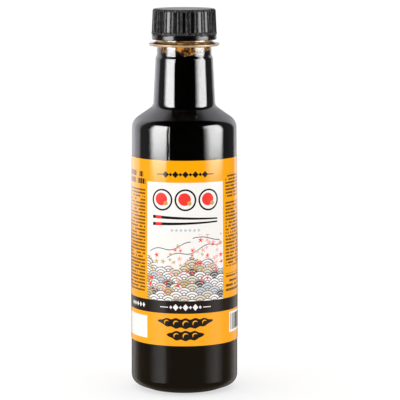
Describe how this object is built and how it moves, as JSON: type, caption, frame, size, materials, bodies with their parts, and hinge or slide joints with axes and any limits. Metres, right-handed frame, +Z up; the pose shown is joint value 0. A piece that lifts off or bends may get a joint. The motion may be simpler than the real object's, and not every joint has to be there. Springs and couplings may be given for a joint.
{
  "type": "soy sauce bottle",
  "caption": "Clear round bottle of dark soy sauce with a long neck, a carrying flange, a wrap-round label, a ribbed black screw cap and its tamper band.",
  "frame": {"origin": "centre of the standing ring, on the surface that the bottle stands on", "axes": "+Z up along the bottle's axis, -Y towards the front of the label"},
  "size_m": [0.0506, 0.0506, 0.1795],
  "materials": {
    "clear_plastic": "clear glossy bottle plastic",
    "sauce": "near-black brown liquid",
    "label_film": "glossy printed film, orange field",
    "black_plastic": "moulded black plastic, semi-gloss"
  },
  "bodies": {
    "root": {"bottle": "clear_plastic", "soy_sauce": "sauce", "label": "label_film", "tamper_band": "black_plastic", "cap": "black_plastic"}
  },
  "joints": []
}
